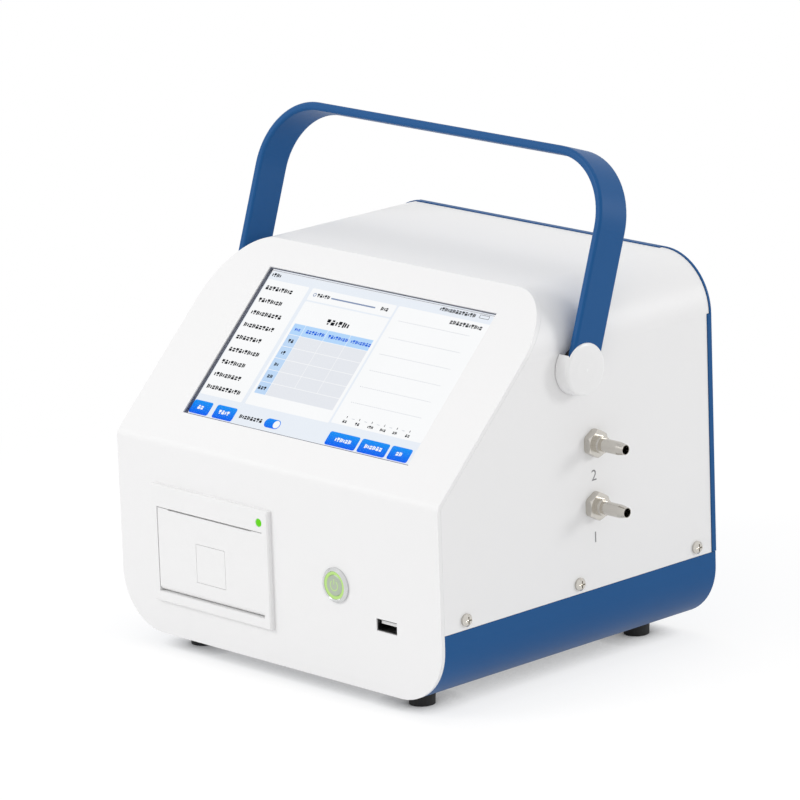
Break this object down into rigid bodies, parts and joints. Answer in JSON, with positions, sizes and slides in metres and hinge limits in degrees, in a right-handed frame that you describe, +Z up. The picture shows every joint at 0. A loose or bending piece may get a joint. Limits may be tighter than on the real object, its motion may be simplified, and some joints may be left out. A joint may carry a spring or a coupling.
{
  "type": "airborne particle counter",
  "caption": "Portable airborne particle counter with sloping touch display, panel printer, power button, USB socket, hose fittings and swinging bail handle.",
  "frame": {"origin": "on the bench, in the plane of the feet, under the middle of the body's width and depth", "axes": "+Z up; the front with its display and printer faces -Y; the hose fittings point to +X"},
  "size_m": [0.2495, 0.1894, 0.2495],
  "materials": {
    "white_paint": "satin powder coat",
    "blue_paint": "satin powder coat",
    "white_plastic": "smooth moulded",
    "black_plastic": "moulded",
    "black_foam": "foam",
    "black_rubber": "matt",
    "glass_touch": "polished",
    "display": "lit screen",
    "zinc_sheet": "zinc plated",
    "steel": "turned",
    "nickel": "nickel plated",
    "board_green": "solder mask",
    "lamp_green": "lit",
    "paper": "thermal paper",
    "aluminium": "machined",
    "ceramic": "ground",
    "clear_hose": "soft hose",
    "battery_wrap": "shrink sleeve"
  },
  "bodies": {
    "housing": {"front_panel": "white_paint", "top_cover": "white_paint", "base_tray": "blue_paint", "rear_panel": "blue_paint", "side_screws": "nickel", "rubber_feet": "black_rubber", "foot_screws": "steel", "display_gasket": "black_foam", "touch_glass": "glass_touch", "lcd_module": "display", "display_frame": "zinc_sheet", "display_pillars": "steel", "display_board": "board_green", "display_board_spacers": "steel", "printer_bezel": "white_plastic", "status_led": "lamp_green", "door_hinge_pin": "steel", "print_head": "ceramic", "head_plate": "aluminium", "printer_bin": "black_plastic", "paper_roll": "paper", "power_button_bezel": "steel", "power_button_nut": "nickel", "power_button_block": "black_plastic", "usb_shell": "nickel", "usb_tongue": "white_plastic", "usb_board": "board_green", "purge_fitting": "nickel", "sample_fitting": "nickel", "fitting_nuts": "nickel", "pivot_bolts": "steel", "hub_washers": "black_plastic", "hub_backings": "zinc_sheet", "instrument_shelf": "zinc_sheet", "shelf_posts": "steel", "sensor_block": "aluminium", "laser_module": "steel", "detector_board": "board_green", "filter_capsule": "white_plastic", "filter_clips": "black_plastic", "vacuum_pump": "aluminium", "pump_feet": "black_rubber", "air_hoses": "clear_hose", "main_board": "board_green", "board_spacers": "steel", "battery_pack": "battery_wrap", "fan_frame": "black_plastic", "fan_screws": "steel", "power_inlet": "black_plastic"},
    "bail": {"handle": "blue_paint", "hub_cap_left": "white_plastic", "hub_cap_right": "white_plastic"},
    "door": {"printer_door": "white_plastic", "latch_cup": "white_plastic"},
    "latch": {"door_latch": "white_plastic"},
    "platen": {"platen_shaft": "steel", "platen_roller": "black_rubber"},
    "power_button": {"power_button_cap": "steel", "power_button_ring": "lamp_green"},
    "fan": {"fan_rotor": "black_plastic"}
  },
  "joints": [
    {"name": "handle_swing", "type": "hinge", "parent": "housing", "child": "bail", "pos_m": [0, -0.0009, 0.1523], "axis": [1, 0, 0], "range_deg": [-41, 122]},
    {"name": "door_hinge", "type": "hinge", "parent": "housing", "child": "door", "pos_m": [-0.0436, -0.0914, 0.0335], "axis": [1, 0, 0], "range_deg": [0, 86]},
    {"name": "latch_push", "type": "slide", "parent": "door", "child": "latch", "axis": [0, 1, 0], "range_m": [0, 0.0015], "stiffness_N_per_m": 400, "springref_m": -0.003},
    {"name": "platen_spin", "type": "hinge", "parent": "door", "child": "platen", "pos_m": [-0.0436, -0.083, 0.0641], "axis": [1, 0, 0], "continuous": true},
    {"name": "button_push", "type": "slide", "parent": "housing", "child": "power_button", "axis": [0, 1, 0], "range_m": [0, 0.0015], "stiffness_N_per_m": 800, "springref_m": -0.002},
    {"name": "fan_spin", "type": "hinge", "parent": "housing", "child": "fan", "pos_m": [-0.052, 0.083, 0.13], "axis": [0, 1, 0], "continuous": true}
  ]
}
